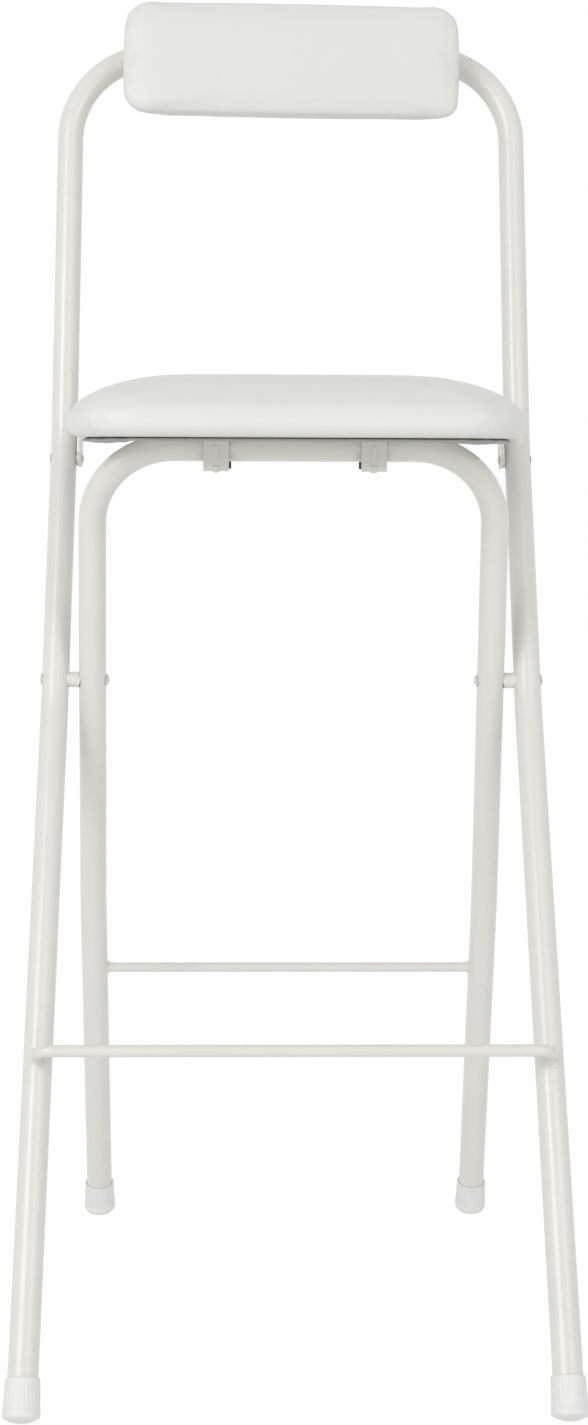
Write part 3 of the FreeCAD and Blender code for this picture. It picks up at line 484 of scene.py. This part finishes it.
def rounded_ring(half_x, half_y, corners, steps, bow=0.0):
    """Points round a rectangle with four corner radii, from the corner at +X +Y on.
    bow swells the straight sides."""
    arcs = []
    for quarter, (sx, sy) in enumerate(((1, 1), (-1, 1), (-1, -1), (1, -1))):
        radius = corners[quarter]
        angles = [math.pi / 2 * (quarter + step / steps) for step in range(steps + 1)]
        arcs.append([(sx * (half_x - radius) + radius * math.cos(angle),
                      sy * (half_y - radius) + radius * math.sin(angle)) for angle in angles])
    points = []
    for arc, after in zip(arcs, arcs[1:] + arcs[:1]):
        points += arc
        for step in range(1, steps):
            share = step / steps
            points.append((arc[-1][0] + (after[0][0] - arc[-1][0]) * share,
                           arc[-1][1] + (after[0][1] - arc[-1][1]) * share))
    swollen = []
    for x, y in points:
        along_x, along_y = x / half_x, y / half_y
        swollen.append((x + bow * (1 - along_y ** 2) * along_x * abs(along_x) ** 3,
                        y + bow * (1 - along_x ** 2) * along_y * abs(along_y) ** 3))
    return swollen


def cushion_rings(half_x, half_y, corners, levels, bow=0.0, steps=10):
    """Rings for a crowned cushion. Each level is how far in it lies, and its height."""
    rings = []
    for inset, height in levels:
        share = max(0.02, 1 - inset / min(half_x, half_y))
        ring = rounded_ring(half_x - inset, half_y - inset, [c * share for c in corners],
                            steps, bow * share)
        rings.append([Vector((x, y, height)) for x, y in ring])
    return rings


def puffed(piece, voxel, cap, held, settle, pressure=4.0):
    """Let air pressure round a cushion out, as its foam does. held says which points
    are fastened, no point moves further than cap, and settle is how often the skin is
    smoothed after."""
    remesh = piece.modifiers.new("even_grid", "REMESH")
    remesh.mode = "VOXEL"
    remesh.voxel_size = voxel
    graph = bpy.context.evaluated_depsgraph_get()
    even = bpy.data.meshes.new_from_object(piece.evaluated_get(graph))
    piece.modifiers.clear()
    piece.data = even
    start = [vertex.co.copy() for vertex in even.vertices]
    pins = piece.vertex_groups.new(name="fastened")
    pins.add([i for i, point in enumerate(start) if held(point)], 1.0, "REPLACE")
    cloth = piece.modifiers.new("foam", "CLOTH")
    cloth.settings.use_pressure = True
    cloth.settings.uniform_pressure_force = pressure
    cloth.settings.effector_weights.gravity = 0
    cloth.settings.vertex_group_mass = "fastened"
    cloth.settings.quality = 6
    cloth.point_cache.frame_start = 1
    cloth.point_cache.frame_end = PUFF_FRAMES
    for step in range(1, PUFF_FRAMES + 1):
        scene.frame_set(step)
    graph = bpy.context.evaluated_depsgraph_get()
    blown = bpy.data.meshes.new_from_object(piece.evaluated_get(graph))
    piece.modifiers.clear()
    for vertex, before in zip(blown.vertices, start):
        move = vertex.co - before
        if move.length > cap:
            vertex.co = before + move.normalized() * cap
    piece.data = blown
    piece.vertex_groups.clear()
    scene.frame_set(1)
    smooth = piece.modifiers.new("settled", "SMOOTH")
    smooth.iterations = settle
    smooth.factor = 0.5
    finer = piece.modifiers.new("finer", "SUBSURF")
    finer.levels = 1
    finer.render_levels = 1
    graph = bpy.context.evaluated_depsgraph_get()
    done = bpy.data.meshes.new_from_object(piece.evaluated_get(graph))
    piece.modifiers.clear()
    piece.data = done
    done.shade_smooth()
    return piece


def fastened(point):
    """Whether a point lies on the board side, where the cover is stapled down."""
    return point.z < FASTENED_BELOW


def seat_levels():
    """The seat's outline from its flat underside, out to the widest line, up the crown."""
    levels = [(60 * MM, 0), (SEAT_TUCK, 0)]
    for step in range(1, 9):
        angle = math.pi / 2 * step / 8
        levels.append((SEAT_TUCK * (1 - math.sin(angle) ** SEAT_TUCK_POWER),
                       SEAT_WIDEST * (1 - math.cos(angle))))
    return levels + [(inset * MM, height * MM) for inset, height in SEAT_CROWN]


def cut_away(piece, cutters):
    """Cut other shapes out of a piece."""
    for cutter in cutters:
        tool = bpy.data.objects.new("cutter", cutter)
        scene.collection.objects.link(tool)
        cutting = piece.modifiers.new("cut", "BOOLEAN")
        cutting.operation = "DIFFERENCE"
        cutting.solver = "EXACT"
        cutting.object = tool
        graph = bpy.context.evaluated_depsgraph_get()
        piece.data = bpy.data.meshes.new_from_object(piece.evaluated_get(graph))
        piece.modifiers.clear()
        bpy.data.objects.remove(tool)
    piece.data.set_sharp_from_angle(angle=math.radians(50))


def block(low, high):
    """A plain box between two corners."""
    rings = []
    for z in (low[2], high[2]):
        rings.append([(low[0], low[1], z), (high[0], low[1], z),
                      (high[0], high[1], z), (low[0], high[1], z)])
    return mesh_from_rings("block", rings)


def level_ring(inset, height):
    """The seat's outline drawn in by some inset, at a height over the lip."""
    share = 1 - inset / SEAT_HALF_Y
    ring = rounded_ring(SEAT_HALF_X - inset, SEAT_HALF_Y - inset, [SEAT_CORNER * share] * 4, 12)
    return [Vector((x, y, height)) for x, y in ring]


seat_hinge = Vector(joints["seat_flip"]["pos_m"])
seat_place = (
    Matrix.Translation(seat_hinge)
    @ Matrix.Rotation(SEAT_TILT, 4, "X")
    @ Matrix.Translation((0, SEAT_REAR - SEAT_HALF_Y, SEAT_LIP_HEIGHT))
)
seat_mesh = mesh_from_rings("seat_cushion", cushion_rings(
    SEAT_HALF_X, SEAT_HALF_Y, [SEAT_CORNER] * 4, seat_levels()))
seat_cushion = add_piece("seat_cushion", seat_mesh, vinyl, "seat")
puffed(seat_cushion, SEAT_VOXEL, SEAT_PUFF, fastened, SEAT_SETTLE)
recess = mesh_from_rings("recess", [level_ring(SEAT_LIP, -CUT_OVERRUN),
                                    level_ring(SEAT_LIP, SEAT_LIP_DROP)])
bracket_line = SEAT_HALF_Y - SEAT_REAR
notches = []
for sign in (-1, 1):
    ends = sorted((sign * NOTCH_INNER, sign * (SEAT_HALF_X + 4 * MM)))
    notches.append(block((ends[0], bracket_line - NOTCH_HALF, -CUT_OVERRUN),
                         (ends[1], bracket_line + NOTCH_HALF, SEAT_LIP_DROP)))
cut_away(seat_cushion, [recess] + notches)
seat_cushion.data.transform(seat_place)
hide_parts("seat_cover", "seat_foam")

# Seat hem
# The cover's edge is turned in under the board and bound with a folded tape of felt,
# stapled all round. The fold hangs a little, with a dark gap over it. The tape's grey is
# painted shade, standing for the shade on the fold that faces down under the seat's edge.
HEM_SECTION = (
    (24.2, 0.8), (18.4, 0.8), (17.6, -0.5), (16.2, -0.8), (14.4, -0.9), (13.5, -1.3),
    (13.1, -2.1), (13.4, -2.7), (14.4, -3.1), (18.0, -2.9), (22.6, -2.2), (24.2, -1.4),
)
HEM_GATHER = 0.35 * MM
HEM_GATHERS = 14
HEM_WANDER = 0.4 * MM


def felt_tape(name, first, second):
    """Needled felt: matt and hairy, with a coarse mottle of fibres."""
    made, tree, shader, place = new_material(name)
    fibres = add_node(tree, "TexNoise", {"Scale": 1 / (0.7 * MM), "Detail": 6}, {"Vector": place})
    tree.links.new(colour_between(tree, fibres.outputs["Fac"], first, second),
                   shader.inputs["Base Color"])
    bump = add_node(tree, "Bump", {"Strength": 0.6, "Distance": 0.2 * MM},
                    {"Height": fibres.outputs["Fac"]})
    tree.links.new(bump.outputs["Normal"], shader.inputs["Normal"])
    shader.inputs["Roughness"].default_value = 0.9
    shader.inputs["Sheen Weight"].default_value = 0.2
    return made


def hem_rings():
    """The tape's section, taken round the seat. It wanders a little, and gathers at
    the corners."""
    rings = []
    for inset, height in HEM_SECTION:
        ring = level_ring(inset * MM, height * MM)
        for point in ring:
            if height < 0:
                wander = noise.noise(Vector((point.x, point.y, 0.3)) * 22) * HEM_WANDER
                corner = (abs(point.x) > SEAT_HALF_X - SEAT_CORNER
                          and abs(point.y) > SEAT_HALF_Y - SEAT_CORNER)
                angle = math.atan2(abs(point.y) - SEAT_HALF_Y + SEAT_CORNER,
                                   abs(point.x) - SEAT_HALF_X + SEAT_CORNER)
                point.z += wander + (HEM_GATHER * math.sin(angle * HEM_GATHERS) if corner else 0)
        rings.append(ring)
    return rings


# Painted shade: the felt's grey stands for the shade on the fold that faces down under the seat.
shade_grey_felt = felt_tape("felt_grey_painted_shade", "9C9B96", "B0AFAA")
hem_mesh = mesh_from_rings("seat_hem", hem_rings(), True)
seat_hem = add_piece("seat_hem", hem_mesh, shade_grey_felt, "seat")
cut_away(seat_hem, [block((-SEAT_HALF_X, bracket_line - NOTCH_HALF, -9 * MM),
                          (SEAT_HALF_X, bracket_line + NOTCH_HALF, 9 * MM))])
seat_hem.data.transform(seat_place)

# Seat brackets, crossbar clips and their screws
# Brackets and clips are pressed from 2 mm steel strip and coated with the frame. The
# screws are zinc plated, driven up into the board.
bracket_coat = powder_coat("powder_coat_bracket", "DCDBD5", "E3E2DD", 0.32)


def zinc_plate(name, first, second):
    """Bright zinc plating: metallic, slightly blue, with a cloudy gloss."""
    made, tree, shader, place = new_material(name)
    cloud = add_node(tree, "TexNoise", {"Scale": 1 / (2 * MM), "Detail": 3}, {"Vector": place})
    tree.links.new(colour_between(tree, cloud.outputs["Fac"], first, second),
                   shader.inputs["Base Color"])
    gloss = add_node(tree, "MapRange", {"To Min": 0.25, "To Max": 0.42},
                     {"Value": cloud.outputs["Fac"]})
    tree.links.new(gloss.outputs["Result"], shader.inputs["Roughness"])
    shader.inputs["Metallic"].default_value = 1.0
    return made


zinc = zinc_plate("bright_zinc_plate", "B4B6B8", "C3C4C5")
for side in ("left", "right"):
    eased(side + "_seat_bracket", bracket_coat, "seat", 0.35 * MM)
    eased(side + "_crossbar_clip", bracket_coat, "seat", 0.35 * MM)
finish_nodes(zinc, "bracket_screws", "clip_screws", "backrest_bolts", "backrest_tee_nuts")

# Clip ribs and liners
# A half-round rib is pressed round the bend of each clip to stiffen it. A block of rubber
# sits in the hook, a little wider than the strap on its inner side. Its black is painted
# shade, standing for the shaded inner side of the hook's turn.
CLIP_HALF_SPACING = 61.5 * MM
CROSSBAR_RISE = 201.4 * MM
HOOK_RADIUS = 5 * MM
STRAP_AHEAD = 14 * MM
STRAP_BELOW = 18.7 * MM
RIB_HALF_WIDTH = 2.75 * MM
RIB_HEIGHT = 1.4 * MM
RIB_START, RIB_SWEEP = 176, 96
RIB_STEPS = 16
RIB_SIDES = 16
LINER_HALF = 9.6 * MM
LINER_INNER = 11.8 * MM
LINER_FRONT, LINER_BACK = 11.9 * MM, 8.6 * MM
LINER_FOOT, LINER_HEAD = 16.6 * MM, 10.8 * MM
LINER_ROUND = 0.8 * MM
hinge_frame = Matrix.Translation(seat_hinge) @ Matrix.Rotation(SEAT_TILT, 4, "X")
bar_in_seat = hinge_frame.inverted() @ (PIVOT + leg_up * CROSSBAR_RISE)
hook_centre = Vector((0, bar_in_seat.y - STRAP_AHEAD + HOOK_RADIUS,
                      bar_in_seat.z - STRAP_BELOW + HOOK_RADIUS))


def clip_rib(name, x):
    """A half-round rib that follows the outside of the hook's bend."""
    rings = []
    for step in range(RIB_STEPS + 1):
        share = step / RIB_STEPS
        angle = math.radians(RIB_START + RIB_SWEEP * share)
        swell = math.sin(math.pi * min(1, 5 * min(share, 1 - share)) / 2)
        outward = Vector((0, math.cos(angle), math.sin(angle)))
        ring = []
        for turn in range(RIB_SIDES):
            around = 2 * math.pi * turn / RIB_SIDES
            height = (RIB_HEIGHT if math.sin(around) > 0 else 0.5 * MM) * math.sin(around)
            ring.append(hook_centre + Vector((x + RIB_HALF_WIDTH * swell * math.cos(around), 0, 0))
                        + outward * (HOOK_RADIUS + height * swell))
        rings.append(ring)
    mesh = mesh_from_rings(name, rings)
    mesh.transform(hinge_frame)
    return add_piece(name, mesh, bracket_coat, "seat")


def clip_shade_liner(name, x, inner):
    """A rubber block with round edges in the trough of the hook. Its black is painted shade
    for the hook's shaded inner side. inner is the sign of the side where it stands out of
    the strap."""
    low = Vector((x - LINER_HALF, bar_in_seat.y - LINER_FRONT, bar_in_seat.z - LINER_FOOT))
    high = Vector((x + LINER_HALF, bar_in_seat.y - LINER_BACK, bar_in_seat.z - LINER_HEAD))
    if inner > 0:
        high.x = x + LINER_INNER
    else:
        low.x = x - LINER_INNER
    mesh = block(low, high)
    mesh.transform(hinge_frame)
    piece = add_piece(name, mesh, rubber_painted_shade, "seat")
    bevel = piece.modifiers.new("round_edges", "BEVEL")
    bevel.width = LINER_ROUND
    bevel.segments = 3
    return piece


# Painted shade: the block's black stands for the shade on the hook's inner side.
rubber_painted_shade = moulded_plastic("black_rubber_painted_shade", "3A3A3A", "444444", 0.6)
for side, sign in (("left", -1), ("right", 1)):
    clip_rib(side + "_clip_rib", sign * CLIP_HALF_SPACING)
    clip_shade_liner(side + "_clip_shade_liner", sign * CLIP_HALF_SPACING, -sign)

# Backrest pad
# A board padded with foam and covered all round in the same vinyl, bolted to the
# front of the top bar. It hangs a little off level, and its lower side slopes back.
PAD_HALF_X, PAD_HALF_Y = 144 * MM, 50.9 * MM
PAD_CORNERS = (21 * MM, 22 * MM, 19 * MM, 13 * MM)
PAD_BELOW_BAR = 17.3 * MM
PAD_OFF_CENTRE = -0.5 * MM
PAD_THICKNESS = 38 * MM
PAD_OFF_LEVEL = math.radians(0.65)
BACK_LEAN = math.radians(11.3)
UPPER_BEND = 213 * MM
BACK_LENGTH = 339.8 * MM
PAD_BACK = 11.2 * MM
PAD_EDGE = 7 * MM
PAD_TUCK = 9 * MM
PAD_DOME = 1.5 * MM
PAD_SIDE = PAD_THICKNESS - PAD_EDGE - PAD_DOME
PAD_BACK_RISE = 4 * MM
PAD_BOW = 1.7 * MM
PAD_VOXEL = 3.4 * MM
PAD_PUFF = 2 * MM
PAD_SETTLE = 3


def pad_levels():
    """The pad from its flat back round the edge to its nearly flat front."""
    levels = [(PAD_TUCK + 6 * MM, 0), (PAD_TUCK + 2 * MM, 0)]
    for step in range(6):
        share = step / 5
        levels.append((PAD_TUCK * (1 - share) ** 1.15, 2 * MM + (PAD_SIDE - 2 * MM) * share))
    for step in range(1, 9):
        angle = math.pi / 2 * step / 8
        levels.append((PAD_EDGE * (1 - math.cos(angle)), PAD_SIDE + PAD_EDGE * math.sin(angle)))
    for step in range(1, 5):
        share = step / 5
        levels.append((PAD_EDGE + 30 * MM * share,
                       PAD_THICKNESS - PAD_DOME + PAD_DOME * math.sin(math.pi / 2 * share)))
    return levels


top_bar = PIVOT + up_along(MIDDLE_LEAN) * UPPER_BEND + up_along(BACK_LEAN) * BACK_LENGTH
pad_place = (
    Matrix.Translation(top_bar)
    @ Matrix.Rotation(-BACK_LEAN, 4, "X")
    @ Matrix.Translation((PAD_OFF_CENTRE, -PAD_BACK, -PAD_BELOW_BAR))
    @ Matrix.Rotation(math.radians(90), 4, "X")
    @ Matrix.Rotation(-PAD_OFF_LEVEL, 4, "Z")
)
pad_rings = cushion_rings(PAD_HALF_X, PAD_HALF_Y, PAD_CORNERS, pad_levels(), PAD_BOW)
for ring in pad_rings:
    for point in ring:
        point.y += PAD_BACK_RISE * max(0, 1 - point.z / PAD_SIDE)
pad_mesh = mesh_from_rings("backrest_pad", pad_rings)
backrest_pad = add_piece("backrest_pad", pad_mesh, vinyl, "back_frame")
puffed(backrest_pad, PAD_VOXEL, PAD_PUFF, fastened, PAD_SETTLE)
backrest_pad.data.transform(pad_place)
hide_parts("backrest_cover", "backrest_foam")

# Studio
# A white floor without an edge, two soft boxes and an even sky, level enough that a
# colour renders about as it is written. Two narrow boxes put glints on the tubes.
FLOOR_HALF = 8.0
FLOOR_BOUNCE = 0.95
FLOOR_GLOW = 0.9
SHADOW_SHARE = 0.16
WORLD_LIGHT = 0.63


def camera_sees(tree):
    """One where a ray comes from the camera or a reflection, else zero."""
    path = add_node(tree, "LightPath")
    either = add_node(tree, "Math", {"operation": "MAXIMUM"},
                      {0: path.outputs["Is Camera Ray"], 1: path.outputs["Is Glossy Ray"]})
    return add_node(tree, "Math", {"operation": "MAXIMUM"},
                    {0: either.outputs[0], 1: path.outputs["Is Transmission Ray"]}).outputs[0]


floor_paint = bpy.data.materials.new("studio_floor")
floor_paint.use_nodes = True
tree = floor_paint.node_tree
tree.nodes.clear()
matt = add_node(tree, "BsdfDiffuse", {"Color": (FLOOR_BOUNCE, FLOOR_BOUNCE, FLOOR_BOUNCE, 1)})
shadowed = add_node(tree, "BsdfDiffuse", {"Color": (SHADOW_SHARE, SHADOW_SHARE, SHADOW_SHARE, 1)})
glow = add_node(tree, "Emission", {"Color": (1, 1, 1, 1), "Strength": FLOOR_GLOW})
seen = add_node(tree, "AddShader", links={0: shadowed.outputs[0], 1: glow.outputs[0]})
both = add_node(tree, "MixShader", links={0: camera_sees(tree), 1: matt.outputs[0],
                                          2: seen.outputs[0]})
add_node(tree, "OutputMaterial", links={"Surface": both.outputs[0]})
floor_mesh = bpy.data.meshes.new("floor")
corners = [(-FLOOR_HALF, -FLOOR_HALF, 0), (FLOOR_HALF, -FLOOR_HALF, 0),
           (FLOOR_HALF, FLOOR_HALF, 0), (-FLOOR_HALF, FLOOR_HALF, 0)]
floor_mesh.from_pydata(corners, [], [(0, 1, 2, 3)])
floor_mesh.materials.append(floor_paint)
floor = bpy.data.objects.new("floor", floor_mesh)
scene.collection.objects.link(floor)

world = bpy.data.worlds.new("studio")
scene.world = world
world.use_nodes = True
tree = world.node_tree
tree.nodes.clear()
lit = add_node(tree, "Background", {"Color": (1, 1, 1, 1), "Strength": WORLD_LIGHT})
white = add_node(tree, "Background", {"Color": (1, 1, 1, 1), "Strength": 1.0})
both = add_node(tree, "MixShader", links={0: camera_sees(tree), 1: lit.outputs[0],
                                          2: white.outputs[0]})
add_node(tree, "OutputWorld", links={"Surface": both.outputs[0]})


def soft_box(name, place, target, width, height, watts):
    """A soft lamp that faces a point."""
    data = bpy.data.lights.new(name, "AREA")
    data.shape = "RECTANGLE"
    data.size = width
    data.size_y = height
    data.energy = watts
    lamp = bpy.data.objects.new(name, data)
    scene.collection.objects.link(lamp)
    lamp.location = place
    lamp.rotation_euler = (Vector(target) - Vector(place)).to_track_quat("-Z", "Y").to_euler()
    return lamp


soft_box("key_light", (-1.6, -2.2, 1.5), (0, 0, 0.5), 1.6, 1.2, 19.5)
soft_box("fill_light", (1.7, -2.1, 1.4), (0, 0, 0.4), 1.4, 1.1, 8)
soft_box("left_strip", (-1.35, -1.75, 1.95), (0, -0.1, 0.3), 0.3, 0.7, 3.5)
soft_box("right_strip", (0.95, -2.0, 1.95), (0, -0.1, 0.3), 0.3, 0.7, 2.5)
scene.view_settings.view_transform = "Standard"
